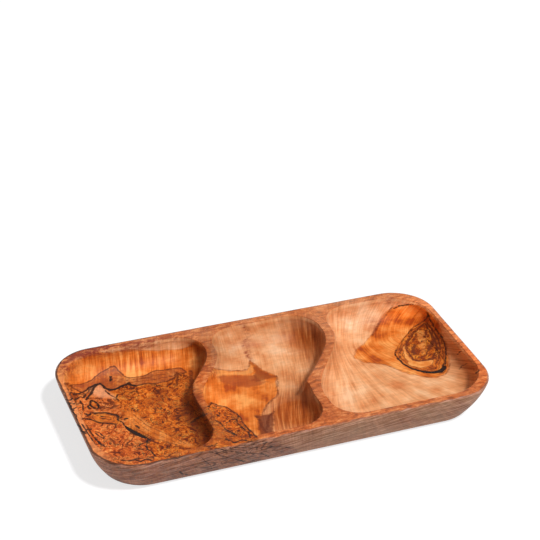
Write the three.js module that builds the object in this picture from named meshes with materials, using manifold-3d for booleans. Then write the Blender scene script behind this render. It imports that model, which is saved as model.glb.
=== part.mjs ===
// An olive wood serving tray with three hollows, carved from one block of wood.
// Millimetres, +Z up. The origin is the middle of the base, +X runs along the tray and +Y to its back.
import * as THREE from "three";
import { mergeVertices } from "three/addons/utils/BufferGeometryUtils.js";
import Module from "manifold-3d";

const wasm = await Module();
wasm.setup();

// The block
const LENGTH = 300;
const WIDTH = 150;
const HEIGHT = 28;
const RIM_CORNER = 32; // plan radius of the corners at the rim
const BASE_CORNER = 28; // and at the base
const BASE_INSET = 12; // how far the walls lean in from rim to base
const WALL_BELLY = 1.9; // how far the leaning walls swell outwards halfway up
const BASE_ROUND = 2; // rounding where the walls meet the base
const EDGE_ROUND = 1.2; // sanded rounding of the rim's edges

// The hollows
const RIM_AT_ENDS = 5.5;
const RIM_AT_SIDES = 7.5;
const END_CORNER = 33; // plan radius of a hollow's corners at the tray's ends
const DIVIDER_CORNER = 21; // plan radius where a divider runs into the side rims
const DIVIDER_WIDTH = 7.5; // measured along the tray
const WALL_DRAFT = 1.2; // how far the short straight wall leans in above the cove
const COVE = 17; // radius of the cove between wall and floor
const FLOOR_EDGE = 9; // floor thickness at the foot of the cove
const FLOOR_DISH = 1; // how much lower the middle of a floor is

// Each divider is a gentle S seen from above: straight runs at the back and front, joined by a sine.
const LEFT_DIVIDER = { back: -32.7, front: -61.7, middle: 13, reach: 31 };
const RIGHT_DIVIDER = { back: 59.8, front: 21.8, middle: 2, reach: 40 };

// Branch stubs and bark that the tree grew round without joining. Each is drawn where it shows at the
// height given, and its sides lean as the branch did. They sit in blind sockets in the floor.
const SEAT_GAP = 0.3;
const SOCKET_FLOOR = 3.5; // wood left below a socket
const SOCKET_TOP = 19.5; // no socket reaches higher up a cove than this
const BRANCH_KNOT = {
  height: 9,
  lean: [0.1, 0],
  outline: [[108, 20], [115, 29], [124, 38], [131, 41], [135.5, 36], [137, 20], [137, 2], [135.5, -8],
    [130, -12.5], [123, -12], [115, -6], [109, 3]],
};
const KNOT_BARK = {
  height: 9,
  lean: [0.1, -0.1],
  outline: [[110, 1], [113.5, -6], [118, -11.8], [124, -15.4], [130, -16.2], [135, -13], [130, -9], [116, -1]],
};
const LONG_KNOT = {
  height: 9,
  lean: [-0.5, 0],
  outline: [[-134, 11], [-131, 18], [-125, 18], [-117, 16], [-113.5, 10], [-114, 4], [-118, 1.5], [-127, 5]],
};
const EYE_KNOT = {
  height: 9,
  lean: [-0.2, 0],
  outline: [[-126.6, 35.2], [-129.2, 31], [-128.6, 25.5], [-125.8, 23.2], [-123.7, 27], [-124.4, 32.5]],
};
const BARK_SEAM = {
  height: 8,
  lean: [0, 0.2],
  outline: [[-112.6, -2], [-112, -8], [-108, -15.5], [-103, -21], [-102, -18.5], [-106, -12], [-109.5, -6]],
};

// Facets
const CORNER_STEPS = 10;
const DIVIDER_STEPS = 16;
const COVE_STEPS = 7;
const ROUND_STEPS = 3;
const WALL_STEPS = 4;
const DISH_STEPS = 3;
const KNOT_STEPS_PER_POINT = 4;

const { clamp, lerp } = THREE.MathUtils;
const innerX = LENGTH / 2 - RIM_AT_ENDS;
const innerY = WIDTH / 2 - RIM_AT_SIDES;

// X of a divider's middle line at a given Y.
function dividerX({ back, front, middle, reach }, y) {
  const t = clamp((y - middle) / reach, -1, 1);
  return (back + front) / 2 + ((back - front) / 2) * Math.sin((t * Math.PI) / 2);
}

function quarterArc(x, y, radius, startAngle) {
  const arc = new THREE.EllipseCurve(x, y, radius, radius, startAngle, startAngle + Math.PI / 2);
  return arc.getPoints(CORNER_STEPS);
}

// Counter-clockwise, starting at the front right corner.
function roundedRectangle(halfX, halfY, radius) {
  const x = halfX - radius;
  const y = halfY - radius;
  return [
    ...quarterArc(x, -y, radius, -Math.PI / 2),
    ...quarterArc(x, y, radius, 0),
    ...quarterArc(-x, y, radius, Math.PI / 2),
    ...quarterArc(-x, -y, radius, Math.PI),
  ];
}

// The points of a hollow's side between its corner arcs, from front to back.
function sideRun({ xAt, corner }) {
  const reach = innerY - corner;
  const points = [];
  for (let i = 1; i < DIVIDER_STEPS; i++) {
    const y = lerp(-reach, reach, i / DIVIDER_STEPS);
    points.push(new THREE.Vector2(xAt(y), y));
  }
  return points;
}

// Counter-clockwise outline of a hollow between its left and right sides.
function hollowOutline({ left, right }) {
  const cornerArc = ({ xAt, corner }, inwards, end, startAngle) => {
    const y = end * (innerY - corner);
    return quarterArc(xAt(y) + inwards * corner, y, corner, startAngle);
  };
  return [
    ...cornerArc(right, -1, -1, -Math.PI / 2),
    ...sideRun(right),
    ...cornerArc(right, -1, 1, 0),
    ...cornerArc(left, 1, 1, Math.PI / 2),
    ...sideRun(left).reverse(),
    ...cornerArc(left, 1, -1, Math.PI),
  ];
}

// A closed counter-clockwise outline moved inwards, square to its own run.
function inset(outline, distance) {
  const n = outline.length;
  return outline.map((point, i) => {
    const along = outline[(i + 1) % n].clone().sub(outline[(i + n - 1) % n]).normalize();
    return new THREE.Vector2(point.x - along.y * distance, point.y + along.x * distance);
  });
}

// A hollow's outline drawn smaller along the hollow's own S-shaped middle line.
function shrink(outline, { left, right }, share) {
  const spineX = (y) => (left.xAt(y) + right.xAt(y)) / 2;
  return outline.map(({ x, y }) => {
    const smallY = y * share;
    return new THREE.Vector2(spineX(smallY) + (x - spineX(y)) * share, smallY);
  });
}

// A closed solid through rings of as many points each, from the lowest ring to the highest.
function loft(rings) {
  const n = rings[0].outline.length;
  const positions = rings.flatMap(({ outline, z }) => outline.flatMap((p) => [p.x, p.y, z]));
  const index = [];
  for (let r = 0; r + 1 < rings.length; r++) {
    for (let i = 0; i < n; i++) {
      const a = r * n + i;
      const b = r * n + ((i + 1) % n);
      index.push(a, b, b + n, a, b + n, a + n);
    }
  }
  const top = (rings.length - 1) * n;
  const floorFaces = THREE.ShapeUtils.triangulateShape(rings[0].outline, []);
  const topFaces = THREE.ShapeUtils.triangulateShape(rings.at(-1).outline, []);
  for (const [a, b, c] of floorFaces) index.push(c, b, a);
  for (const [a, b, c] of topFaces) index.push(top + a, top + b, top + c);
  const geometry = new THREE.BufferGeometry();
  geometry.setAttribute("position", new THREE.Float32BufferAttribute(positions, 3));
  geometry.setIndex(index);
  return geometry;
}

// Angles of a quarter turn, for a rounded edge or a cove.
function quarterAngles(steps) {
  return Array.from({ length: steps + 1 }, (_, i) => ((i / steps) * Math.PI) / 2);
}

// The block before it is hollowed: its walls lean in to the base and swell slightly on the way.
function blockGeometry() {
  const rim = roundedRectangle(LENGTH / 2, WIDTH / 2, RIM_CORNER);
  const base = roundedRectangle(LENGTH / 2 - BASE_INSET, WIDTH / 2 - BASE_INSET, BASE_CORNER);
  const shoulder = HEIGHT - EDGE_ROUND;
  const ringAt = (z, roundedOff) => {
    const t = Math.min(z / shoulder, 1);
    const belly = WALL_BELLY * 4 * t * (1 - t);
    const outline = base.map((p, i) => p.clone().lerp(rim[i], t));
    return { outline: inset(outline, roundedOff - belly), z };
  };
  const rings = [];
  for (const a of quarterAngles(ROUND_STEPS)) {
    rings.push(ringAt(BASE_ROUND * (1 - Math.cos(a)), BASE_ROUND * (1 - Math.sin(a))));
  }
  for (let i = 1; i < WALL_STEPS; i++) {
    rings.push(ringAt(lerp(BASE_ROUND, shoulder, i / WALL_STEPS), 0));
  }
  for (const a of quarterAngles(ROUND_STEPS)) {
    rings.push(ringAt(shoulder + EDGE_ROUND * Math.sin(a), EDGE_ROUND * (1 - Math.cos(a))));
  }
  return loft(rings);
}

// The wood taken out for one hollow: dished floor, cove, short leaning wall and rounded lip.
function hollowGeometry(hollow) {
  const outline = hollowOutline(hollow);
  const foot = inset(outline, WALL_DRAFT + COVE);
  const rings = [];
  for (let i = 1; i <= DISH_STEPS; i++) {
    const share = i / (DISH_STEPS + 1);
    const z = FLOOR_EDGE - FLOOR_DISH * (1 - share * share);
    rings.push({ outline: shrink(foot, hollow, share), z });
  }
  for (const a of quarterAngles(COVE_STEPS)) {
    const ring = inset(outline, WALL_DRAFT + COVE * (1 - Math.sin(a)));
    rings.push({ outline: ring, z: FLOOR_EDGE + COVE * (1 - Math.cos(a)) });
  }
  for (const a of quarterAngles(ROUND_STEPS)) {
    const ring = inset(outline, -EDGE_ROUND * (1 - Math.cos(a)));
    rings.push({ outline: ring, z: HEIGHT - EDGE_ROUND * (1 - Math.sin(a)) });
  }
  rings.push({ outline: inset(outline, -EDGE_ROUND), z: HEIGHT + EDGE_ROUND });
  return loft(rings);
}

// A leaning plug from a given floor up to where sockets end, with its outline drawn smaller by a gap.
function plugGeometry({ height, lean, outline }, floor, gap) {
  const points = outline.map(([x, y]) => new THREE.Vector3(x, y, 0));
  const curve = new THREE.CatmullRomCurve3(points, true);
  const drawn = curve.getPoints(outline.length * KNOT_STEPS_PER_POINT).slice(0, -1);
  if (THREE.ShapeUtils.isClockWise(drawn)) drawn.reverse();
  const flat = inset(drawn.map(({ x, y }) => new THREE.Vector2(x, y)), gap);
  const ringAt = (z) => {
    const shift = new THREE.Vector2(...lean).multiplyScalar(z - height);
    return { outline: flat.map((p) => p.clone().add(shift)), z };
  };
  return loft([ringAt(floor), ringAt(SOCKET_TOP)]);
}

function toSolid(geometry) {
  const merged = mergeVertices(geometry);
  const mesh = new wasm.Mesh({
    numProp: 3,
    vertProperties: new Float32Array(merged.attributes.position.array),
    triVerts: new Uint32Array(merged.index.array),
  });
  return new wasm.Manifold(mesh);
}

function toGeometry(solid) {
  const { vertProperties, triVerts } = solid.getMesh();
  const geometry = new THREE.BufferGeometry();
  geometry.setAttribute("position", new THREE.BufferAttribute(vertProperties, 3));
  geometry.setIndex(new THREE.BufferAttribute(triVerts, 1));
  geometry.computeVertexNormals();
  return geometry;
}

const socketOf = (piece) => toSolid(plugGeometry(piece, SOCKET_FLOOR, 0));
const plugOf = (piece) => toSolid(plugGeometry(piece, SOCKET_FLOOR + SEAT_GAP, SEAT_GAP));

// The sides of the three hollows, from the tray's left end to its right end.
const half = DIVIDER_WIDTH / 2;
const endSide = (sign) => ({ xAt: () => sign * innerX, corner: END_CORNER });
const dividerSide = (divider, offset) => ({
  xAt: (y) => dividerX(divider, y) + offset,
  corner: DIVIDER_CORNER,
});
const HOLLOWS = [
  { left: endSide(-1), right: dividerSide(LEFT_DIVIDER, -half) },
  { left: dividerSide(LEFT_DIVIDER, half), right: dividerSide(RIGHT_DIVIDER, -half) },
  { left: dividerSide(RIGHT_DIVIDER, half), right: endSide(1) },
];

let carved = toSolid(blockGeometry());
for (const hollow of HOLLOWS) carved = carved.subtract(toSolid(hollowGeometry(hollow)));

let body = carved;
for (const piece of [BRANCH_KNOT, KNOT_BARK, LONG_KNOT, EYE_KNOT, BARK_SEAM]) {
  body = body.subtract(socketOf(piece));
}

const PIECES = [
  { name: "tray_body", solid: body, color: 0xb5652c, roughness: 0.45 },
  { name: "branch_knot", solid: carved.intersect(plugOf(BRANCH_KNOT)), color: 0x9c5220, roughness: 0.45 },
  {
    name: "knot_bark",
    solid: carved.intersect(plugOf(KNOT_BARK)).subtract(socketOf(BRANCH_KNOT)),
    color: 0x23140f,
    roughness: 0.7,
  },
  { name: "long_knot", solid: carved.intersect(plugOf(LONG_KNOT)), color: 0xb0601f, roughness: 0.45 },
  { name: "eye_knot", solid: carved.intersect(plugOf(EYE_KNOT)), color: 0x6b3415, roughness: 0.45 },
  { name: "bark_seam", solid: carved.intersect(plugOf(BARK_SEAM)), color: 0x2a170f, roughness: 0.7 },
];

const tray = new THREE.Group();
for (const { name, solid, color, roughness } of PIECES) {
  const material = new THREE.MeshStandardMaterial({ color, roughness, metalness: 0 });
  const mesh = new THREE.Mesh(toGeometry(solid), material);
  mesh.name = name;
  tray.add(mesh);
}

export default tray;
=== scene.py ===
# An olive wood serving tray with three hollows, carved from one block, standing on a pale floor.
import math

import bmesh
import bpy
import numpy as np
from mathutils import Matrix, Vector, noise


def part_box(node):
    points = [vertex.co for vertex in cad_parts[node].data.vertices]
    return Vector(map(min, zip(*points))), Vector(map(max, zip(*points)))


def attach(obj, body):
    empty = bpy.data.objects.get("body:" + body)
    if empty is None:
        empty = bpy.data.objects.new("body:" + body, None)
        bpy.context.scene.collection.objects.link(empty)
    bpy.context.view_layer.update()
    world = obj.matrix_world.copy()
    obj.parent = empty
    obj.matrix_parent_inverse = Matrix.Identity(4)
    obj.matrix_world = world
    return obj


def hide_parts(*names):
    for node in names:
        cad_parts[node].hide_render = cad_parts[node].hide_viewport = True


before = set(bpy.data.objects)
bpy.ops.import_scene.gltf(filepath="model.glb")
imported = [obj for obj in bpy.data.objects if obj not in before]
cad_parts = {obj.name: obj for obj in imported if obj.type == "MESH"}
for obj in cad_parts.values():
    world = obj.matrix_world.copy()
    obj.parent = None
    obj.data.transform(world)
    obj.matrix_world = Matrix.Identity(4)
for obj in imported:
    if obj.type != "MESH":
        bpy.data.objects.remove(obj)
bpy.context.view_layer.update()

# Tray body: one block of olive wood. Its walls lean out to a flat rim, and three hollows with coved walls
# are carved into it, parted by two dividers that run in an S. It is sanded smooth by hand and oiled.
MM = 0.001
low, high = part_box("tray_body")
LENGTH, WIDTH, HEIGHT = ((b - a) / MM for a, b in zip(low, high))
RIM_CORNER = 32
BASE_CORNER = 28
BASE_INSET = 12
WALL_BELLY = 1.9
BASE_ROUND = 2
EDGE_ROUND = 1.2
LIP_ROUND = 0.4
INNER_X = LENGTH / 2 - 4.7
INNER_Y = WIDTH / 2 - 6.7
END_CORNER = 33
DIVIDER_CORNER = 21
DIVIDER_WIDTH = 7.5
WALL_DRAFT = 1.2
COVE = 17
FLOOR_EDGE = 9
FLOOR_DISH = 1
DISH_REACH = 22
LEFT_DIVIDER = {"back": -32.7, "front": -61.7, "middle": 13, "reach": 31}
LEFT_DIVIDER_INNER = {"back": -32.5, "front": -59.6, "middle": 17, "reach": 29}
LEFT_SPUR = {"y": 5, "out": 1, "towards_back": 6, "towards_front": 5}
RIGHT_DIVIDER = {"back": 59.8, "front": 21.8, "middle": 2, "reach": 40}
RIGHT_SPUR = {"y": -18.8, "out": 3.9, "towards_back": 9, "towards_front": 4.5}
SPUR_BLUNT = 0.25
HAND_WORK = 0.22
WIDE_PASS = 17
NARROW_PASS = 7
MESH_STEP = 1.9
LONGEST_EDGE = 1.5 * MESH_STEP
COVE_STEPS = 18
WALL_STEPS = 14
EDGE_STEPS = 5
LIP_STEPS = 4
UNDERSIDE_RINGS = (0.97, 0.8, 0.65, 0.5, 0.35, 0.2, 0.1)
HALVINGS = 7
WELD = 0.001


def divider_x(divider, y):
    """X of a divider's middle line at a given Y: straight at both ends, with a sine between."""
    turn = np.clip((y - divider["middle"]) / divider["reach"], -1, 1) * math.pi / 2
    back, front = divider["back"], divider["front"]
    return (back + front) / 2 + (back - front) / 2 * np.sin(turn)


def quarter_arc(x, y, radius, start):
    turn = np.linspace(start, start + math.pi / 2, math.ceil(radius * math.pi / 2 / MESH_STEP))
    return np.stack([x + radius * np.cos(turn), y + radius * np.sin(turn)], axis=1)


def rounded_rectangle(half_x, half_y, radius):
    """Counter-clockwise from the front right corner, with the same number of points at any size."""
    x, y = half_x - radius, half_y - radius
    corners = [(x, -y), (x, y), (-x, y), (-x, -y)]
    arcs = [quarter_arc(0, 0, RIM_CORNER, (i - 1) * math.pi / 2) for i in range(4)]
    return np.concatenate([arc * radius / RIM_CORNER + corner for arc, corner in zip(arcs, corners)])


def hollow_outline(left, right):
    """Counter-clockwise outline of a hollow between its left and right sides."""

    def corner_arc(side, inwards, end, start):
        y = end * (INNER_Y - side["corner"])
        return quarter_arc(side["x"](y) + inwards * side["corner"], y, side["corner"], start)

    def side_run(side):
        """Points closer together where the side bends, as the cove below it fans out there."""
        reach = INNER_Y - side["corner"]
        y = np.linspace(-reach, reach, 4000)
        x = side["x"](y) + 0 * y
        bend = np.gradient(np.arctan(np.gradient(x, y)))
        spread = np.cumsum(np.hypot(np.gradient(x), np.gradient(y)) + COVE * np.abs(bend))
        y = np.interp(np.linspace(spread[0], spread[-1], math.ceil(spread[-1] / MESH_STEP)), spread, y)[1:-1]
        return np.stack([side["x"](y) + 0 * y, y], axis=1)

    return np.concatenate([
        corner_arc(right, -1, -1, -math.pi / 2),
        side_run(right),
        corner_arc(right, -1, 1, 0),
        corner_arc(left, 1, 1, math.pi / 2),
        side_run(left)[::-1],
        corner_arc(left, 1, -1, math.pi),
    ])


def inset(outline, distance):
    """A closed counter-clockwise outline moved inwards, square to its own run."""
    along = np.roll(outline, -1, axis=0) - np.roll(outline, 1, axis=0)
    along /= np.linalg.norm(along, axis=1, keepdims=True)
    return outline + distance * np.stack([-along[:, 1], along[:, 0]], axis=1)


def fill_in(outline, counts):
    """The same outline with each of its sides cut into as many equal parts as counts says."""
    ends = np.roll(outline, -1, axis=0)
    sides = [np.linspace(a, b, n, endpoint=False) for a, b, n in zip(outline, ends, counts)]
    return np.concatenate(sides)


def parts_of_sides(outline):
    """How many parts each side of an outline is cut into."""
    sides = np.linalg.norm(np.roll(outline, -1, axis=0) - outline, axis=1)
    return np.ceil(sides / LONGEST_EDGE).astype(int)


def quarter_turn(steps):
    return [math.pi / 2 * i / steps for i in range(steps + 1)]


def hollow_rings(left, right):
    """A hollow from the edge of its floor up the cove and the short wall to its crisp lip."""
    outline = hollow_outline(left, right)
    rings = []
    for a in quarter_turn(COVE_STEPS):
        ring = inset(outline, WALL_DRAFT + COVE * (1 - math.sin(a)))
        rings.append((ring, FLOOR_EDGE + COVE * (1 - math.cos(a))))
    for a in quarter_turn(LIP_STEPS):
        ring = inset(outline, -LIP_ROUND * (1 - math.cos(a)))
        rings.append((ring, HEIGHT - LIP_ROUND * (1 - math.sin(a))))
    counts = parts_of_sides(outline)
    return [(fill_in(ring, counts), z) for ring, z in rings]


def block_rings():
    """The block from the middle of its base up the leaning, slightly swelling walls to the rim."""
    rim = rounded_rectangle(LENGTH / 2, WIDTH / 2, RIM_CORNER)
    half_x, half_y = LENGTH / 2 - BASE_INSET, WIDTH / 2 - BASE_INSET
    base = rounded_rectangle(half_x, half_y, BASE_CORNER)
    shoulder = HEIGHT - EDGE_ROUND
    counts = parts_of_sides(rim)

    def ring_at(z, rounded_off):
        t = min(z / shoulder, 1)
        belly = WALL_BELLY * 4 * t * (1 - t)
        return fill_in(inset(base + (rim - base) * t, rounded_off - belly), counts), z

    rings = []
    for share in UNDERSIDE_RINGS:
        left = 1 - share
        underside = rounded_rectangle(half_x - half_y * share, half_y * left, BASE_CORNER * left)
        rings.append((fill_in(underside, counts), 0))
    for a in quarter_turn(EDGE_STEPS):
        rings.append(ring_at(BASE_ROUND * (1 - math.cos(a)), BASE_ROUND * (1 - math.sin(a))))
    for z in np.linspace(BASE_ROUND, shoulder, WALL_STEPS)[1:-1]:
        rings.append(ring_at(z, 0))
    for a in quarter_turn(EDGE_STEPS):
        rings.append(ring_at(shoulder + EDGE_ROUND * math.sin(a), EDGE_ROUND * (1 - math.cos(a))))
    return rings


def loft(shell, rings):
    """Extrudes a circle of vertices from ring to ring, and returns the edges of the first and last one."""

    def edges_of(loop):
        return [shell.edges.get((a, b)) for a, b in zip(loop, loop[1:] + loop[:1])]

    def lay(loop, ring):
        outline, z = ring
        for vert, (x, y) in zip(loop, outline):
            vert.co = (x, y, z)

    loop = bmesh.ops.create_circle(shell, segments=len(rings[0][0]), radius=1)["verts"]
    lay(loop, rings[0])
    first = edges_of(loop)
    for ring in rings[1:]:
        new = set(bmesh.ops.extrude_edge_only(shell, edges=edges_of(loop))["geom"])
        loop = [next(e.other_vert(v) for e in v.link_edges if e.other_vert(v) in new) for v in loop]
        lay(loop, ring)
    return first, edges_of(loop)


def to_object(shell, name):
    """A finished shell, drawn in millimetres, as an object in metres."""
    bmesh.ops.remove_doubles(shell, verts=shell.verts, dist=WELD)
    bmesh.ops.recalc_face_normals(shell, faces=shell.faces)
    bmesh.ops.scale(shell, vec=(MM, MM, MM), verts=shell.verts)
    mesh = bpy.data.meshes.new(name)
    shell.to_mesh(mesh)
    shell.free()
    mesh.shade_smooth()
    piece = bpy.data.objects.new(name, mesh)
    bpy.context.collection.objects.link(piece)
    return piece


def fill(shell, edges):
    """Fills a flat face between edges, and halves its inner edges until it can bend and take a figure."""
    for face in bmesh.ops.triangle_fill(shell, edges=edges, use_beauty=True)["geom"]:
        if isinstance(face, bmesh.types.BMFace):
            face.material_index = 1
    outer = set(edges)
    for _ in range(HALVINGS):
        long = [edge for edge in shell.edges if edge.calc_length() > LONGEST_EDGE and edge not in outer]
        long = [edge for edge in long if any(face.material_index for face in edge.link_faces)]
        bmesh.ops.subdivide_edges(shell, edges=long, cuts=1)
        bmesh.ops.triangulate(shell, faces=[face for face in shell.faces if face.material_index])
    faces = [face for face in shell.faces if face.material_index]
    for face in faces:
        face.material_index = 0
    return list({vert for face in faces for vert in face.verts})


def distance_to(points, line):
    """Distance from points to a run of straight pieces."""
    nearest = np.full(len(points), np.inf)
    for a, b in zip(line, line[1:]):
        along, to_point = b - a, points - a
        share = np.clip(to_point @ along / max(along @ along, 1e-9), 0, 1)
        nearest = np.minimum(nearest, np.hypot(*(to_point - share[:, None] * along).T))
    return nearest


def end_side(sign):
    return {"x": lambda y: sign * INNER_X, "corner": END_CORNER}


def divider_side(divider, sign, spur=None):
    """One side of a divider. A spur is where two passes of the gouge meet in a point at its waist."""

    def place(y):
        x = divider_x(divider, y) + sign * DIVIDER_WIDTH / 2
        if spur:
            off = np.asarray(y) - spur["y"]
            reach = np.where(off > 0, spur["towards_back"], spur["towards_front"])
            x = x - spur["out"] * np.exp(SPUR_BLUNT - np.sqrt((off / reach) ** 2 + SPUR_BLUNT**2))
        return x

    return {"x": place, "corner": DIVIDER_CORNER}


HOLLOWS = [
    (end_side(-1), divider_side(LEFT_DIVIDER_INNER, -1, LEFT_SPUR)),
    (divider_side(LEFT_DIVIDER, 1), divider_side(RIGHT_DIVIDER, -1, RIGHT_SPUR)),
    (divider_side(RIGHT_DIVIDER, 1), end_side(1)),
]

shell = bmesh.new()
base_edge, rim_edges = loft(shell, block_rings())
bmesh.ops.contextual_create(shell, geom=base_edge)
bmesh.ops.recalc_face_normals(shell, faces=shell.faces)
for left, right in HOLLOWS:
    earlier = set(shell.faces)
    rings = hollow_rings(left, right)
    foot_edges, lip_edges = loft(shell, rings)
    rim_edges += lip_edges
    floor = fill(shell, foot_edges)
    foot = np.concatenate([rings[0][0], rings[0][0][:1]])
    from_edge = distance_to(np.array([vert.co.xy for vert in floor]), foot)
    for vert, share in zip(floor, np.minimum(from_edge / DISH_REACH, 1)):
        vert.co.z = FLOOR_EDGE - FLOOR_DISH * share * (2 - share)
    carved = [face for face in shell.faces if face not in earlier]
    bmesh.ops.recalc_face_normals(shell, faces=carved)
    if floor[0].link_faces[0].normal.z < 0:
        bmesh.ops.reverse_faces(shell, faces=carved)
shell.normal_update()
for vert in shell.verts:
    if vert.co.z > BASE_ROUND:
        swell = noise.noise(vert.co / WIDE_PASS) + 0.5 * noise.noise(vert.co / NARROW_PASS)
        vert.co -= vert.normal * HAND_WORK * (0.5 + 0.33 * swell)
fill(shell, rim_edges)
tray = to_object(shell, "carved_tray")

SEAT_GAP = 0.3
SOCKET_FLOOR = 3.5
SOCKET_TOP = 19.5
SHARP_ANGLE = 40
SOCKETS = {
    "branch_knot": {
        "height": 9,
        "lean": (0.1, 0),
        "outline": [(108, 20), (115, 29), (124, 38), (131, 41), (135.5, 36), (137, 20), (137, 2), (135.5, -8),
                    (130, -12.5), (123, -12), (115, -6), (109, 3)],
    },
    "knot_bark": {
        "height": 9,
        "lean": (0.1, -0.1),
        "outline": [(110, 1), (113.5, -6), (118, -11.8), (124, -15.4), (130, -16.2), (135, -13), (130, -9),
                    (116, -1)],
    },
    "long_knot": {
        "height": 9,
        "lean": (-0.5, 0),
        "outline": [(-134, 11), (-131, 18), (-125, 18), (-117, 16), (-113.5, 10), (-114, 4), (-118, 1.5),
                    (-127, 5)],
    },
    "eye_knot": {
        "height": 9,
        "lean": (-0.2, 0),
        "outline": [(-126.6, 35.2), (-129.2, 31), (-128.6, 25.5), (-125.8, 23.2), (-123.7, 27),
                    (-124.4, 32.5)],
    },
    "bark_seam": {
        "height": 8,
        "lean": (0, 0.2),
        "outline": [(-113, -3.2), (-112, -8), (-108, -15.5), (-103.6, -20.8), (-102.2, -20.2),
                    (-102.2, -18.5), (-106, -12), (-109.5, -6), (-111.6, -2.4)],
    },
}


def smooth_curve(points, steps=8):
    """A closed smooth curve through given points."""
    p = np.array(points, float)
    before, after, last = np.roll(p, 1, axis=0), np.roll(p, -1, axis=0), np.roll(p, -2, axis=0)
    t = np.linspace(0, 1, steps, endpoint=False)[:, None, None]
    curve = 0.5 * (
        2 * p
        + (after - before) * t
        + (2 * before - 5 * p + 4 * after - last) * t**2
        + (3 * p - before - 3 * after + last) * t**3
    )
    return curve.transpose(1, 0, 2).reshape(-1, 2)


def plug(name, shape, floor, gap):
    """A leaning plug from a given floor up to where sockets end, drawn smaller by a gap."""
    outline = smooth_curve(shape["outline"])
    x, y = outline[:, 0], outline[:, 1]
    if np.sum(x * np.roll(y, -1) - y * np.roll(x, -1)) < 0:
        outline = outline[::-1]
    outline = inset(outline, gap)
    lean = np.array(shape["lean"])
    shell = bmesh.new()
    rings = [(outline + lean * (z - shape["height"]), z) for z in (floor, SOCKET_TOP)]
    for edges in loft(shell, rings):
        bmesh.ops.contextual_create(shell, geom=edges)
    return to_object(shell, name)


def cut(piece, cutter, operation):
    """Cuts one piece with another."""
    modifier = piece.modifiers.new("cut", "BOOLEAN")
    modifier.object = cutter
    modifier.operation = operation
    modifier.solver = "EXACT"
    done = piece.evaluated_get(bpy.context.evaluated_depsgraph_get())
    mesh = bpy.data.meshes.new_from_object(done)
    piece.modifiers.clear()
    piece.data = mesh
    mesh.shade_smooth()
    mesh.set_sharp_from_angle(angle=math.radians(SHARP_ANGLE))


uncut_tray = bpy.data.objects.new("uncut_tray", tray.data.copy())
bpy.context.collection.objects.link(uncut_tray)
for names in (("branch_knot", "long_knot", "eye_knot", "bark_seam"), ("knot_bark",)):
    joined = bmesh.new()
    for name in names:
        socket = plug("socket", SOCKETS[name], SOCKET_FLOOR, 0)
        joined.from_mesh(socket.data)
        bpy.data.objects.remove(socket)
    bmesh.ops.scale(joined, vec=(1 / MM, 1 / MM, 1 / MM), verts=joined.verts)
    sockets = to_object(joined, "sockets")
    cut(tray, sockets, "DIFFERENCE")
    bpy.data.objects.remove(sockets)

# The figure of the wood is drawn in millimetres on the floor of the hollows, and runs up through the block at
# the slant of the growth layers.
FIGURE_SLANT = (0.5, 1.3)
PEAK_LINE = [(-135, 57), (-128, 57), (-120, 59.5), (-113, 65), (-106, 68.5), (-98.5, 72), (-97, 64),
             (-95, 57), (-93, 54), (-87, 53), (-80, 53), (-74, 56), (-68, 55.5), (-60, 54.5), (-55, 54),
             (-52, 52), (-50.5, 46)]
BURL_LINE = [(-129, 44), (-124, 49), (-120, 52.5), (-116, 53.5), (-114, 49), (-112, 44.5), (-108, 43),
             (-104, 44), (-100, 45.5), (-96, 46.5), (-94, 43.5), (-90, 42), (-84, 42.5), (-78, 40.5),
             (-70, 40), (-64, 41), (-58, 45), (-56, 47.5)]
BURL_EDGE = [(-50, 40), (-49, 30), (-53, 15), (-55, 3), (-49, 0), (-46, 3), (-45, 1), (-41, -3), (-37, -6),
             (-35, -11), (-33, -16), (-32, -22), (-33, -28), (-32, -34), (-30, -40), (-28, -50), (-15, -75)]
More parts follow.
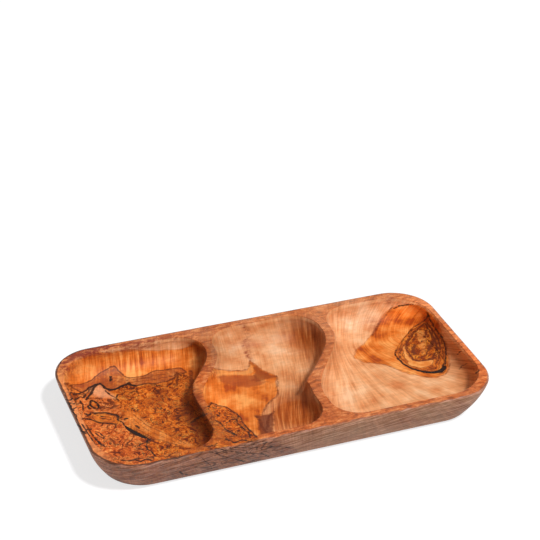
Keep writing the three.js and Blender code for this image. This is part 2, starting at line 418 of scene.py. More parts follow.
FIGURE = {
    "heart": [
        [(-150, -75), (-150, 70), (-138, 82), (-125, 86), (-105, 91), (-95, 88.5), (-80, 87), (-66, 81.5),
         (-53, 78.5), (-45, 76), (-36, 78), (-30, 82), (-25, 76), (-25, 62), (-30, 48), (-29, 43), (-22, 39),
         (-16, 36.5), (-8, 34.5), (-4, 38), (-0.5, 45), (2, 38), (6, 28), (11, 20), (8, 13), (6, 5),
         (3.5, -3), (-4, -8), (-11, -15), (-16, -22), (-20, -32), (-22, -46), (-25, -75)],
        [(76, 23), (81, 32), (93, 41), (107, 55), (118, 69), (131, 78), (143, 77), (152, 69), (154, 50),
         (150, 30), (146, 12), (140, -6), (134, -17), (126, -21), (117, -19), (104, -8), (97, 3), (90, 10),
         (82, 14)],
    ],
    "crown": [PEAK_LINE + BURL_LINE[::-1]],
    "burl": [[(-150, 42), *BURL_LINE, *BURL_EDGE, (-150, -75)]],
    "knotty": [[(-150, 42), (-130, 43), (-122, 47), (-116, 48), (-114, 41), (-110, 33), (-112, 28),
                (-110, 22), (-111, 14), (-113, 8), (-113, -2), (-150, -2)]],
    "russet": [[(-150, 2), (-136, 3), (-128, 1), (-120, 0), (-113.5, -1), (-111, -8), (-109, -14),
                (-106, -18), (-103.5, -22), (-104, -28), (-106, -33), (-105, -40), (-103, -75), (-150, -75)]],
    "peach": [[(-121, 51), (-116, 52), (-114, 46), (-113, 41), (-110, 33), (-114, 34), (-118, 36), (-123, 40),
               (-124, 46)]],
    "band": [[(-112, 4), (-110, -4), (-106, -12), (-102, -19), (-97, -26), (-90, -33), (-82, -39), (-75, -44),
              (-71, -44), (-78, -36), (-85, -26), (-91, -16), (-96, -8), (-99, 1), (-101, 9), (-105, 14),
              (-109, 12)]],
    "lens": [[(-25, 35), (-20, 36), (-14, 35), (-9, 34), (-5, 36), (-1.5, 40), (-2, 34), (-5, 29.5),
              (-11, 29), (-18, 31.5), (-24, 33)]],
    "stain": [[(-29, 34), (-24, 32.5), (-18, 31), (-11, 28), (-6, 27), (-3, 24), (-2, 18), (3, 15.5),
               (-3, 13.5), (-10, 12.5), (-17, 14.5), (-23, 18), (-28, 22), (-30, 28)]],
    "wedge": [[(0, 47), (1.5, 40), (3, 34), (4.5, 29), (7, 24), (11, 19.5), (5, 18.5), (0, 17.5), (-5, 18),
               (-9, 20), (-5, 25), (-2, 31), (-1, 39)]],
    "brown": [[(-22, -22), (-17, -23), (-14, -24), (-9.5, -23.5), (-9.5, -29), (-12, -35), (-15, -40),
               (-17, -46), (-26, -46), (-24.5, -38), (-23, -31), (-21, -27)]],
    # Painted shade over dark burl, on the right wall and back right corner of the left hollow.
    "dark_burl_and_painted_shade": [[(-72, -44), (-67, -43), (-61, -38), (-54, -27), (-51, -15), (-51, 0), (-50, 15), (-47, 27),
               (-42, 37), (-34, 45), (-28, 55), (-27, 70), (-32, 84), (-36, 76), (-37.5, 63), (-43, 57),
               (-48, 47), (-52, 38), (-57, 29), (-61, 20), (-65, 8), (-69, 0), (-69, -10), (-69, -20),
               (-71, -31)]],
    "knot": [
        [(106, 14), (108, 19), (112, 22), (116, 27), (121, 33), (127, 40), (133, 46), (140, 50), (145, 51),
         (148, 49), (149, 40), (148, 30), (147, 20), (145, 10), (142, 2), (139, -6), (136, -12), (132, -17),
         (128, -18), (122, -16), (116, -10), (112, -5), (109, 0), (107, 6)],
        [(-135, 13), (-133, 18), (-130, 19.5), (-126, 18), (-121, 17), (-117, 13.5), (-114.5, 11.5),
         (-115, 8), (-116, 3), (-119, 1.5), (-122, 2.5), (-126, 5), (-130, 6.5), (-133, 9.5)],
        [(-126.6, 35), (-129, 31), (-128.6, 26), (-126, 23), (-123.9, 27), (-124.4, 32)],
    ],
    "crescent": [[(118, 26), (115, 20), (113, 13), (112, 6), (111, 1), (114, -3), (120, -6), (126, -5),
                  (130, -2), (130.5, 1), (127, 2), (121, 2.5), (117, 5), (116, 11), (117, 18), (119, 24)]],
    "core": [[(119, 24), (122.5, 29), (127.5, 34), (132, 39), (137.5, 43), (142, 47), (145, 48.5),
              (144.5, 39), (142, 27), (141, 17), (137, 7), (132, 2), (124, 2.5), (119.5, 4.5), (117, 10),
              (117.5, 18)]],
    "pith": [[(136, 41), (140, 40), (141.5, 36), (139, 31), (136, 27), (133, 21), (130, 14), (127.5, 11),
              (128.5, 17), (131, 24), (132, 30), (134, 36)]],
}
# Lines of dark sap and bark, from the left knots along the burl to the large knot.
# Each has a half width, a strength and a run.
LINES = {
    "ink": [
        (0.7, 0.9, [(-142, 41), (-139.5, 39.5), (-138, 38.5), (-136.5, 40)]),
        (0.8, 0.9, [(-142, 37), (-140, 36), (-139.5, 31), (-141, 29), (-139, 26)]),
        (0.8, 0.9, [(-142, 9), (-140, 6), (-140.5, 1), (-138.5, -3)]),
        (0.6, 0.9, [(-141, 34), (-138.5, 35), (-136.5, 33), (-135, 34.5)]),
        (0.6, 0.9, [(-141, 29), (-138, 27.5), (-136, 29)]),
        (0.6, 0.8, [(-140.5, 25), (-139, 20), (-139.5, 14)]),
        (0.6, 0.9, [(-141, 1), (-138, -1), (-136, 1)]),
        (0.7, 0.8, [(-124, -40), (-119, -43), (-115, -42.5), (-112, -46), (-108, -44.5), (-105, -47)]),
        (0.6, 0.7, [(-98, -45), (-93, -46.5), (-89, -44.5)]),
        (0.6, 0.7, [(-66, -44), (-60, -46), (-57, -44)]),
        (0.7, 0.8, [(-50, -41), (-46, -47), (-40, -45.5), (-34, -50)]),
        (0.7, 1, [(-127, 35), (-124.3, 31.5), (-123.7, 27), (-125.5, 23.7), (-127.6, 25), (-129.2, 29),
                  (-128.6, 33), (-127, 35)]),
        (0.9, 1, [(-131, 28.5), (-131.2, 25.5)]),
        (0.8, 1, [(-135, 20), (-133.5, 18), (-131, 20), (-128, 18.7), (-123, 17), (-120, 15.5), (-118, 13.5),
                  (-115.5, 12), (-114.5, 10.5), (-114.8, 8), (-115.5, 5.5)]),
        (0.6, 1, [(-136, 14), (-132, 11), (-130, 8), (-128, 6), (-125, 5), (-123, 3.2), (-121, 2.2),
                  (-118.5, 2)]),
        (0.5, 0.7, [(-126, 14), (-124, 13), (-123.6, 10.5), (-125.5, 9.5), (-126.2, 12), (-126, 14)]),
        (0.6, 1, [(-115.5, 5.5), (-113.5, 1), (-113, -3), (-111.5, -7), (-110, -11), (-107, -16),
                  (-103.5, -21), (-101, -25)]),
        (0.9, 0.9, [(-110.8, 5), (-109, 4.7)]),
        (0.9, 0.8, [(-105.6, -6), (-104.3, -9)]),
        (0.6, 0.9, [(-103, -24), (-104, -27), (-106, -31), (-106, -35), (-104, -40), (-103, -45)]),
        (0.5, 0.9, [(-110, -28.5), (-107, -27), (-103.5, -26.5)]),
        (0.5, 0.8, [(-134, -3), (-131.5, -6), (-130.3, -10), (-131, -13), (-133, -9), (-134.4, -5)]),
        (0.6, 0.9, [(-138, 8), (-137, -2), (-136, -12), (-133, -22)]),
        (1, 1, [(-130, 37.5), (-127, 40.5), (-124.5, 44), (-121, 49.5), (-119.5, 51), (-117.5, 53),
                (-115, 53.5), (-113.5, 50), (-113, 46), (-110.5, 43.5), (-107, 42.5), (-103, 44.5), (-98, 46),
                (-95, 47.5), (-94, 44.5), (-91, 41.5)]),
        (0.8, 0.9, [(-136, 46), (-132, 46.5), (-128, 48), (-124, 51), (-119, 53.5)]),
        (0.6, 0.9, [(-136, 40), (-133, 42), (-131, 40), (-129, 43.5)]),
        (0.6, 0.9, [(-134.5, 37), (-134, 31), (-135.5, 25)]),
        (0.6, 0.9, [(-114, 44), (-113.3, 40), (-111.5, 36), (-110.3, 33.5), (-108.5, 33), (-107, 35.5)]),
        (0.6, 0.8, [(-109.5, 31.5), (-108.5, 28)]),
        (0.9, 1, [(-105, 59.5), (-105.8, 57), (-106.6, 54.5)]),
        (1.2, 0.7, [(-67, -14.5), (-62, -12), (-57, -10), (-53, -9)]),
        (0.5, 0.7, [(-49, -1), (-47, 1), (-45.5, 3.5), (-44, 1), (-41, -2.5), (-37.5, -5), (-35.5, -10),
                    (-33.5, -15), (-32, -20), (-33, -26), (-32, -32), (-30.5, -40), (-29, -46)]),
        (0.8, 0.7, [(-39, -20.5), (-35.5, -21.5), (-33, -19)]),
        (0.8, 0.7, [(-36, -22.5), (-36.5, -28), (-35, -33), (-33, -39), (-33.5, -45)]),
        (0.7, 0.9, [(-47, -12), (-46, -14)]),
        (0.6, 0.7, [(-49.5, -18), (-48, -22), (-47, -30), (-43, -38), (-39, -43)]),
        (0.9, 0.75, [(131.5, 76), (136, 78), (142, 77.3), (146, 76)]),
        (0.6, 0.65, [(106.6, 12), (107.3, 18), (110, 22), (115, 26), (120, 32), (125, 37), (130, 42),
                     (135, 46.5), (140, 49.5), (145, 52), (149, 54.5), (151.5, 59)]),
        (0.6, 0.7, [(152, 62), (150.5, 52), (149.3, 43), (149, 35), (148.5, 27), (147.5, 20), (145.5, 12),
                    (142.5, 5), (139, -2), (136.5, -8), (134, -13)]),
        (0.8, 1, [(134, -13), (130, -16), (124, -15), (118, -12), (114, -8.5), (110, -3), (107.5, 4),
                  (106.6, 12)]),
        (0.7, 0.9, [(133, 26), (136.5, 27.5)]),
        (0.6, 0.8, [(135.5, -7), (134, -10)]),
        (0.6, 0.7, [(-49, -51), (-42, -55), (-35.5, -57), (-26.5, -59), (-18, -62), (-12.5, -66)]),
        (0.6, 0.7, [(-57, -51), (-51, -56), (-45, -60), (-38.5, -63), (-32.5, -66), (-29.5, -71)]),
        (0.6, 0.7, [(-63.5, -52), (-60, -58), (-56, -62), (-52, -65.5), (-48.5, -69.5), (-47, -73)]),
        (0.5, 0.6, [(-41, -51.5), (-32, -54), (-22.5, -55), (-13.5, -57)]),
        (0.5, 0.6, [(-72.5, -55), (-71.5, -61), (-70.5, -66), (-71.5, -71)]),
        (0.9, 0.8, [(-92.5, -66), (-92, -69)]),
        (0.9, 0.7, [(-90, -71), (-88, -72.5)]),
        (0.7, 0.5, [(150, -12), (146, -14), (143, -17)]),
        (0.6, 0.6, [(152, 4), (149, 1)]),
        (0.6, 0.6, [(154, -22), (150, -26)]),
    ],
    "umber": [
        (1.5, 0.6, [(-135.5, 60), (-135.5, 50), (-136, 40)]),
        (0.8, 0.8, [(-68, 40), (-62, 42), (-57, 49), (-55.5, 43)]),
        (1, 0.7, [(-63, 32), (-60, 40), (-57.5, 46)]),
        (1.5, 0.7, [(-53, 26), (-50, 36), (-47, 47)]),
        (0.6, 0.8, [(-101, -25), (-97, -30.5), (-93, -34), (-89, -36.5), (-84, -40), (-78, -44)]),
        (0.6, 0.6, [(-103, 8), (-101, 1), (-99, -5), (-97, -9.5), (-94, -14), (-89, -21), (-84, -29),
                    (-79, -37)]),
        (0.5, 0.5, [(-105, 3), (-103, -4), (-101, -10), (-97, -17), (-92, -24), (-86, -32), (-80, -39)]),
        (0.5, 0.6, [(-107, -9), (-103, -15), (-99, -22), (-94, -28), (-88, -34), (-82, -40)]),
        (0.5, 0.9, [(-117, -23), (-113, -20.5), (-110.3, -16), (-110.5, -11)]),
        (0.9, 0.7, [(-127, -14), (-125.5, -19), (-126, -25)]),
        (0.9, 0.6, [(-118, -25), (-114, -28)]),
        (0.7, 0.7, [(-123, 21), (-119, 23), (-116, 21), (-113, 24), (-111, 22)]),
        (0.7, 0.7, [(-121, 30), (-118, 27), (-114, 29), (-112, 26)]),
        (0.5, 0.6, [(-95, 51), (-88, 50.5), (-80, 49.5), (-72, 50.5), (-64, 49)]),
        (0.5, 0.6, [(-94, 47.5), (-86, 47), (-78, 45.5), (-70, 46), (-62, 45)]),
        (0.9, 0.45, [(-27, 42), (-22, 39), (-16, 37), (-10, 34.8), (-5.5, 36.5), (-2.5, 40.5), (-0.5, 46)]),
        (0.9, 0.5, [(11, 20), (9, 12), (6, 5), (4.5, -1), (2, -5), (-2, -7.3), (-6, -10), (-9, -12.5),
                    (-12, -17), (-15, -21)]),
        (1.1, 0.7, [(-7, -22), (-12, -26), (-16, -33), (-19, -40)]),
        (1.1, 0.7, [(-21, -24), (-20, -30), (-22, -36), (-21, -43)]),
        (0.9, 0.4, [(77, 23), (80, 19), (83, 14), (87, 12), (92, 9.5), (96, 5), (98, 1), (102, -4), (106, -8),
                    (111, -14), (117, -18.5), (124, -20.5), (131, -20), (136, -15), (140, -8)]),
        (1.3, 0.5, [(101, 47), (107, 54), (112, 60), (117, 65.5), (122, 70), (127, 74), (131, 79)]),
        (0.6, 0.8, [(109.5, 12), (111, 18), (115, 23), (120, 29), (126, 35), (132, 40.5), (138, 44.5),
                    (144, 47.5)]),
        (0.6, 0.8, [(147, 49), (146.5, 40), (146, 31), (144.5, 22), (142, 13), (138, 5), (134, -1),
                    (130, -6)]),
        (0.7, 0.9, [(117, 6), (120, 3), (126, 2.3), (131, 3), (135, 7), (139, 13), (142, 20), (143.5, 28),
                    (144.5, 38)]),
        (0.7, 0.9, [(117, 6), (117.3, 13), (119, 21), (121.5, 28), (127, 33.5), (132, 39), (137, 43)]),
        (1.5, 0.8, [(120.5, 13), (123, 20), (126.5, 24)]),
        (1.4, 0.8, [(135, 16), (139, 21), (142.5, 25)]),
        (0.8, 0.8, [(124, 7), (129, 9), (133, 14), (136, 21)]),
        (0.8, 0.8, [(127, 29), (131, 33), (134, 38)]),
        (0.8, 0.8, [(137, 31), (140, 34), (142.5, 40)]),
    ],
}
# Soft patches of tone and colour: the middle, the reach along and across, and the share there.
PATCHES = {
    # In tone, the patches at (-58, -6), (51, 58) and (22, -14) are painted shade on the right walls of the
    # hollows. Those at (142, 70) and (158, 0) are painted light on the shaded back corner and end wall of the
    # right hollow. The others make the wood lighter or darker.
    "tone": [(-80, 65, 16, 9, 0.12), (-58, -6, 10, 32, -0.3), (-45, 20, 8, 30, 0.12), (-40, -15, 8, 14, 0.12),
             (51, 58, 12, 30, -0.25), (-20, 65, 16, 20, -0.34), (-105, -46, 28, 6, 0.1),
             (20, 68, 28, 18, -0.17), (22, -14, 8, 22, -0.25), (142, 70, 16, 14, 0.6), (158, 0, 10, 60, 0.45),
             (-141, 20, 6, 60, 0.4), (-125, -12, 16, 16, 0.12), (-90, 12, 14, 20, 0.12)],
    # Deep orange: browner wood at (8, -28); the patches on the right walls of the hollows are painted shade.
    "amber_and_painted_shade": [(8, -28, 24, 22, 1.4), (51, 58, 15, 34, 1), (27, 6, 8, 14, 0.6), (158, 0, 12, 50, 0.5),
              (148, -24, 10, 22, 0.5)],
    "blush": [(-108, 95, 30, 8, 1.3), (-132, 84, 8, 14, 1), (-62, 90, 24, 7, 0.6), (130, 88, 12, 8, 0.5),
              (109, 60, 6, 12, 0.35), (-32, 40, 5, 8, 0.6), (-15, 95, 30, 5, 0.4), (11, 84, 1.8, 7, 1),
              (7, 74, 1.6, 7, 0.9), (3, 63, 1.5, 7, 0.9), (0.8, 53, 1.5, 7, 1)],
    "streaky": [(58, 20, 22, 34, 0.8), (-80, 75, 60, 14, 0.9), (12, -20, 18, 24, 0.6), (74, 70, 8, 24, 0.5),
                (18, 68, 30, 24, -0.8), (-12, 8, 22, 24, -0.5)],
    "pale": [(95, 68, 18, 18, 0.8), (47, -12, 12, 18, 0.4), (20, 52, 18, 10, 0.25)],
}
FIGURE_REACH = 8
FINE_MESH = ((2.0, 1.1), (1.0, 0.75))
EMPTY_FACE = 0.002
WALL_SKIN = 1.5
LINE_CORE = 0.85
LINE_FADE = 1.9
LINE_PEAK = 1.2
LINE_WANDER = 0.6
WANDER_STEP = 3
WANDER_SEED = 1
MIDDLE_WAIST = {"at": (30, 10), "slant": 0.3, "spread_below": 25, "spread_above": 90}
RIGHT_WAIST = {"at": (64, 41), "slant": 0.32, "spread_below": 25, "spread_above": 45}


def near(points, line):
    """Which points lie within the figure's reach of the box round a line."""
    low, high = line.min(axis=0) - FIGURE_REACH, line.max(axis=0) + FIGURE_REACH
    return np.all((points > low) & (points < high), axis=1)


def depth_in(points, outline):
    """Distance from points to a closed outline: positive inside it, and up to the figure's reach outside."""
    ends = smooth_curve(outline, steps=5)
    depth = np.full(len(points), -float(FIGURE_REACH))
    here = near(points, ends)
    close = points[here]
    inside = np.zeros(len(close), bool)
    for a, b in zip(ends, np.roll(ends, -1, axis=0)):
        crosses = (a[1] > close[:, 1]) != (b[1] > close[:, 1])
        rise = b[1] - a[1] or 1e-9
        inside ^= crosses & (close[:, 0] - a[0] < (b[0] - a[0]) * (close[:, 1] - a[1]) / rise)
    distance = distance_to(close, np.concatenate([ends, ends[:1]]))
    depth[here] = np.where(inside, distance, -np.minimum(distance, FIGURE_REACH))
    return depth


def drawn(points, lines):
    """How dark points are under a set of lines, which fade out beyond their half width."""
    dark = np.zeros(len(points))
    for half_width, strength, run in lines:
        run = np.array(run, float)
        here = near(points, run)
        off = distance_to(points[here], run) / (LINE_CORE * half_width)
        dark[here] = np.maximum(dark[here], strength * np.clip(LINE_FADE - off, 0, LINE_PEAK))
    return dark


def figure_points(places):
    """Where places in the block, in metres, lie in the figure."""
    x, y, z = places.T / MM
    return np.stack([x + FIGURE_SLANT[0] * (z - FLOOR_EDGE), y + FIGURE_SLANT[1] * (z - FLOOR_EDGE)], axis=1)


def refine(piece):
    """Halves long edges near the lines, twice, so that the mesh can carry them, and drops empty faces."""
    shell = bmesh.new()
    shell.from_mesh(piece.data)
    lines = [np.array(run, float) for runs in LINES.values() for half_width, strength, run in runs]
    for reach, size in FINE_MESH:
        points = figure_points(np.array([vert.co for vert in shell.verts]))
        close = np.zeros(len(points), bool)
        for line in lines:
            here = near(points, line)
            close[here] |= distance_to(points[here], line) < reach
        shell.verts.index_update()
        long = []
        for edge in shell.edges:
            shown = any(close[vert.index] and vert.co.z > FLOOR_EDGE * MM / 2 for vert in edge.verts)
            if shown and edge.calc_length() > size * MM:
                long.append(edge)
        bmesh.ops.subdivide_edges(shell, edges=long, cuts=1)
        bmesh.ops.triangulate(shell, faces=[face for face in shell.faces if len(face.verts) > 4])
    bmesh.ops.dissolve_degenerate(shell, dist=EMPTY_FACE * MM, edges=shell.edges)
    bmesh.ops.triangulate(shell, faces=shell.faces)
    twins = {}
    for face in shell.faces:
        twins.setdefault(frozenset(face.verts), []).append(face)
    folded = [face for faces in twins.values() if len(faces) > 1 for face in faces]
    bmesh.ops.delete(shell, geom=folded, context="FACES")
    shell.to_mesh(piece.data)
    shell.free()


def depth_in_block(x, y, z):
    """Distance in plan from the block's outer wall, positive inside it."""
    t = np.clip(z / (HEIGHT - EDGE_ROUND), 0, 1)
    belly = WALL_BELLY * 4 * t * (1 - t)
    corner = BASE_CORNER + (RIM_CORNER - BASE_CORNER) * t
    beyond_x = np.abs(x) - (LENGTH / 2 - BASE_INSET * (1 - t) + belly - corner)
    beyond_y = np.abs(y) - (WIDTH / 2 - BASE_INSET * (1 - t) + belly - corner)
    outside = np.hypot(np.maximum(beyond_x, 0), np.maximum(beyond_y, 0))
    return corner - outside - np.minimum(np.maximum(beyond_x, beyond_y), 0)


def hourglass(u, v, waist):
    """Place across a run of fibres that narrows to a waist and fans out below and above it."""
    off = v - waist["at"][1]
    spread = np.where(off < 0, waist["spread_below"], waist["spread_above"])
    return (u - waist["at"][0] - waist["slant"] * off) / np.sqrt(1 + (off / spread) ** 2)


def lay_figure(piece):
    """Stores, for each vertex, how deep it lies in each part of the figure and how the fibres run there."""
    mesh = piece.data
    places = np.empty(3 * len(mesh.vertices))
    mesh.vertices.foreach_get("co", places)
    x, y, z = places.reshape(-1, 3).T / MM
    points = figure_points(places.reshape(-1, 3))
    u, v = points.T
    noise.seed_set(WANDER_SEED)
    wander = np.array([noise.noise_vector((a / WANDER_STEP, b / WANDER_STEP, 0)).xy for a, b in points])
    depths = {}
    for name, outlines in FIGURE.items():
        depths[name] = np.max([depth_in(points, outline) for outline in outlines], axis=0)
    for name, lines in LINES.items():
        depths[name] = drawn(points + LINE_WANDER * wander, lines)
    from_wall = depth_in_block(x, y, z)
    depths["outer"] = np.where((from_wall < WALL_SKIN) | (z < BASE_ROUND), HEIGHT - z, -from_wall)
    for name, patches in PATCHES.items():
        depths[name] = 0 * u
        for at_u, at_v, reach_u, reach_v, share in patches:
            depths[name] += share * np.exp(-((u - at_u) / reach_u) ** 2 - ((v - at_v) / reach_v) ** 2)
    for name, depth in depths.items():
        mesh.attributes.new(name, "FLOAT", "POINT").data.foreach_set("value", depth.astype(np.float32))
    middle_u, middle_v = MIDDLE_WAIST["at"]
    straight = u - middle_u - RIGHT_WAIST["slant"] * (v - middle_v)
    fan = np.clip((u + 20) / 40, 0, 1)
    across = straight + fan * (hourglass(u, v, MIDDLE_WAIST) - straight)
    past = np.clip((x - divider_x(RIGHT_DIVIDER, y)) / 6 + 0.5, 0, 1)
    across += past * (hourglass(u, v, RIGHT_WAIST) - across)
    grain = np.stack([across, v, 0 * u], axis=1).astype(np.float32)
    mesh.attributes.new("grain", "FLOAT_VECTOR", "POINT").data.foreach_set("vector", grain.ravel())


refine(tray)
lay_figure(tray)


def linear(colour):
    """An sRGB hex colour as linear RGBA."""
    parts = [int(colour[i:i + 2], 16) / 255 for i in (1, 3, 5)]
    return (*(p / 12.92 if p <= 0.04045 else ((p + 0.055) / 1.055) ** 2.4 for p in parts), 1)


def add(tree, kind, *values, out=None, stops=(), **named):
    """Adds a node. Values are sockets in order, capitalised names are sockets, and others are settings."""
    node = tree.nodes.new("ShaderNode" + kind)
    for name, value in named.items():
        if name[0].islower():
            setattr(node, name, value)
    if stops:
        ramp = node.color_ramp
        ramp.elements[0].position, ramp.elements[1].position = stops[0][0], stops[-1][0]
        for place, colour in stops[1:-1]:
            ramp.elements.new(place)
        for element, (place, colour) in zip(ramp.elements, stops):
            element.color = linear(colour)
    sockets = [*zip((s for s in node.inputs if s.enabled), values)]
    sockets += [(node.inputs[n.replace("_", " ")], value) for n, value in named.items() if n[0].isupper()]
    for socket, value in sockets:
        if isinstance(value, bpy.types.NodeSocket):
            tree.links.new(value, socket)
        else:
            socket.default_value = linear(value) if isinstance(value, str) else value
    return node.outputs[out] if out else next(s for s in node.outputs if s.enabled)


def new_material(name):
    """A new material and its nodes."""
    material = bpy.data.materials.new(name)
    material.use_nodes = True
    return material, material.node_tree


def coat(tree, colour, grain, rough, depth, ior):
    """Gives a surface its colour, and roughness and relief from the same fine grain."""
    shader = tree.nodes["Principled BSDF"]
    shader.inputs["IOR"].default_value = ior
    shader.inputs["Specular IOR Level"].default_value = SHEEN
    roughness = add(tree, "MapRange", grain, 0.3, 0.7, *rough)
    relief = add(tree, "Bump", Height=grain, Distance=depth * MM, Strength=1)
    for name, value in (("Base Color", colour), ("Roughness", roughness), ("Normal", relief)):
        tree.links.new(value, shader.inputs[name])


def wandering(tree, depth, place, size, reach):
    """A depth whose contours wander to and fro, as growth layers do."""
    cloud = add(tree, "TexNoise", Vector=place, Scale=1 / size, Detail=2)
    shift = add(tree, "MapRange", cloud, 0.25, 0.75, -reach, reach)
    return add(tree, "Math", depth, shift, operation="ADD")


def laid_on(tree, under, over, depth, soft):
    """Lays one figure over another with a soft edge."""
    share = add(tree, "MapRange", depth, -soft, soft, 0, 1, interpolation_type="SMOOTHSTEP")
    return add(tree, "Mix", share, under, over, data_type="RGBA")


def edged(tree, under, over, depth, soft=0.5, line="#4f1e11", width=0.6, strength=0.6):
    """Lays one figure over another, with a dark line along its edge."""
    laid = laid_on(tree, under, over, depth, soft)
    off = add(tree, "Math", depth, operation="ABSOLUTE")
    ink = add(tree, "MapRange", off, 0.3 * width, width, strength, 0, interpolation_type="SMOOTHSTEP")
    return add(tree, "Mix", ink, laid, line, data_type="RGBA")


def figure_place(tree):
    """Place in the wood in millimetres, and the same place followed down the slant of the growth layers."""
    metres = add(tree, "TexCoord", out="Object")
    place = add(tree, "VectorMath", metres, Scale=1 / MM, operation="SCALE")
    u = add(tree, "VectorMath", place, (1, 0, FIGURE_SLANT[0]), operation="DOT_PRODUCT")
    v = add(tree, "VectorMath", place, (0, 1, FIGURE_SLANT[1]), operation="DOT_PRODUCT")
    return place, add(tree, "CombineXYZ", u, v)


def streaks(tree, width, length, detail=3):
    """Streaks of a given width and length in millimetres along the fibres."""
    grain = add(tree, "Attribute", attribute_name="grain", out="Vector")
    drawn = add(tree, "VectorMath", grain, (1 / width, 1 / length, 1), operation="MULTIPLY")
    return add(tree, "TexNoise", Vector=drawn, Scale=1, Detail=detail, Roughness=0.6)


def depth_of(tree, name, place, size, reach):
    """Depth in one part of the figure, with a wandering edge."""
    depth = add(tree, "Attribute", attribute_name=name, out="Fac")
    return wandering(tree, depth, place, size, reach)


def squiggles(tree, flat):
    """Share of dark ink in the squiggles of burl, which run like the contour lines of a map.

    Real ones are a few tenths of a millimetre wide, too fine to show, so they are drawn about twice as wide.
    """
    drawn = None
    patchy = add(tree, "TexNoise", Vector=flat, Scale=1 / 11, Detail=2)
    for size, turns, strength in ((14, 13, 0.9), (6, 6, 0.85)):
        swirl = add(tree, "TexNoise", Vector=flat, Scale=1 / size, Detail=2, Distortion=1.6)
        levels = add(tree, "Math", swirl, turns, operation="MULTIPLY")
        saw = add(tree, "Math", levels, 1, operation="PINGPONG")
        here = add(tree, "MapRange", patchy, 0.38, 0.54, 0, strength)
        ink = add(tree, "MapRange", saw, 0.08, 0.4, here, 0, interpolation_type="SMOOTHSTEP")
        drawn = add(tree, "Math", drawn, ink, operation="MAXIMUM") if drawn else ink
    dots = add(tree, "TexNoise", Vector=flat, Scale=1 / 2, Detail=3)
    specks = add(tree, "MapRange", dots, 0.58, 0.66, 0, 0.6, interpolation_type="SMOOTHSTEP")
    return add(tree, "Math", drawn, specks, operation="MAXIMUM")


def inked(tree, colour, flat):
    """Draws the lines of dark sap and bark over a colour, broken up a little as they are in the wood."""
    broken = add(tree, "TexNoise", Vector=flat, Scale=1 / 2.5, Detail=3)
    part = add(tree, "MapRange", broken, 0.34, 0.6, 0.6, 1.2)
    for name, tint in (("umber", "#6a2c10"), ("ink", "#21110d")):
        line = add(tree, "Attribute", attribute_name=name, out="Fac")
        line = add(tree, "Math", line, part, operation="MULTIPLY")
        share = add(tree, "MapRange", line, 0.2, 0.95, 0, 0.95, interpolation_type="SMOOTHSTEP")
        colour = add(tree, "Mix", share, colour, tint, data_type="RGBA")
    return colour


def ringed(tree, wood, depth, flat, size, reach, spacing, width):
    """Draws dark rings that follow the outline of a stub."""
    wound = wandering(tree, depth, flat, size, reach)
    rings = add(tree, "Math", wound, spacing, operation="PINGPONG")
    ink = add(tree, "MapRange", rings, 0.1, width, 0.7, 0, interpolation_type="SMOOTHSTEP")
    return add(tree, "Mix", ink, wood, "#4f1c0c", data_type="RGBA")


def knot_figure(tree, flat, knot):
    """Knot wood: a light crescent round a brown core, with dark rings that follow the outline of the stub."""
    tone = add(tree, "TexNoise", Vector=flat, Scale=1 / 6, Detail=4)
    wood = add(tree, "ValToRGB", tone, stops=[(0.37, "#93400f"), (0.5, "#c6631e"), (0.63, "#e0812f")])
    colour = ringed(tree, wood, knot, flat, 7, 1.2, 1.3, 0.5)
    light = add(tree, "ValToRGB", tone, stops=[(0.4, "#df8238"), (0.6, "#f3a458")])
    colour = edged(tree, colour, light, depth_of(tree, "crescent", flat, 4, 0.8), 0.7, "#7a3312", 0.6, 0.5)
    core = depth_of(tree, "core", flat, 4, 0.8)
    brown = add(tree, "ValToRGB", tone, stops=[(0.38, "#8a3606"), (0.5, "#c25e12"), (0.62, "#e4892e")])
    brown = ringed(tree, brown, core, flat, 4, 1.6, 1.2, 0.8)
    colour = edged(tree, colour, brown, core, 0.5, "#4a190c", 0.8, 0.7)
    pith = depth_of(tree, "pith", flat, 3, 1.6)
    glow = add(tree, "Mix", 0.6, colour, light, data_type="RGBA")
    return laid_on(tree, colour, glow, pith, 1.6)


# Olive wood, sanded and oiled: pale peach sapwood in long streaks, orange heartwood with dark growth lines,
# and burl round the knots. The oil gives a satin sheen. The sizes of the patterns are in millimetres.
OIL_IOR = 1.48
SHEEN = 0.15
olive_wood, tree = new_material("oiled_olive_wood")
place, flat = figure_place(tree)
cloud = add(tree, "TexNoise", Vector=flat, Scale=1 / 20, Detail=4)
broad = streaks(tree, 2.4, 50, 5)
streaky = add(tree, "Attribute", attribute_name="streaky", out="Fac")
share = add(tree, "MapRange", streaky, -0.8, 1, 0.02, 0.65)
tone = add(tree, "Mix", share, cloud, broad)
sapwood = add(tree, "ValToRGB", tone, stops=[(0.38, "#d2804c"), (0.45, "#df9762"), (0.52, "#e8a470"),
                                             (0.62, "#f0b98a")])
heartwood = add(tree, "ValToRGB", tone, stops=[(0.39, "#a64512"), (0.46, "#d26a20"), (0.52, "#e27f35"),
                                               (0.6, "#f3a055")])
mottle = add(tree, "TexNoise", Vector=flat, Scale=1 / 6, Detail=6, Roughness=0.7, Distortion=1.5)
patchy = add(tree, "MapRange", mottle, 0.4, 0.6, 0.85, 0.3)
crown_wood = add(tree, "Mix", patchy, heartwood, "#8a4326", data_type="RGBA")
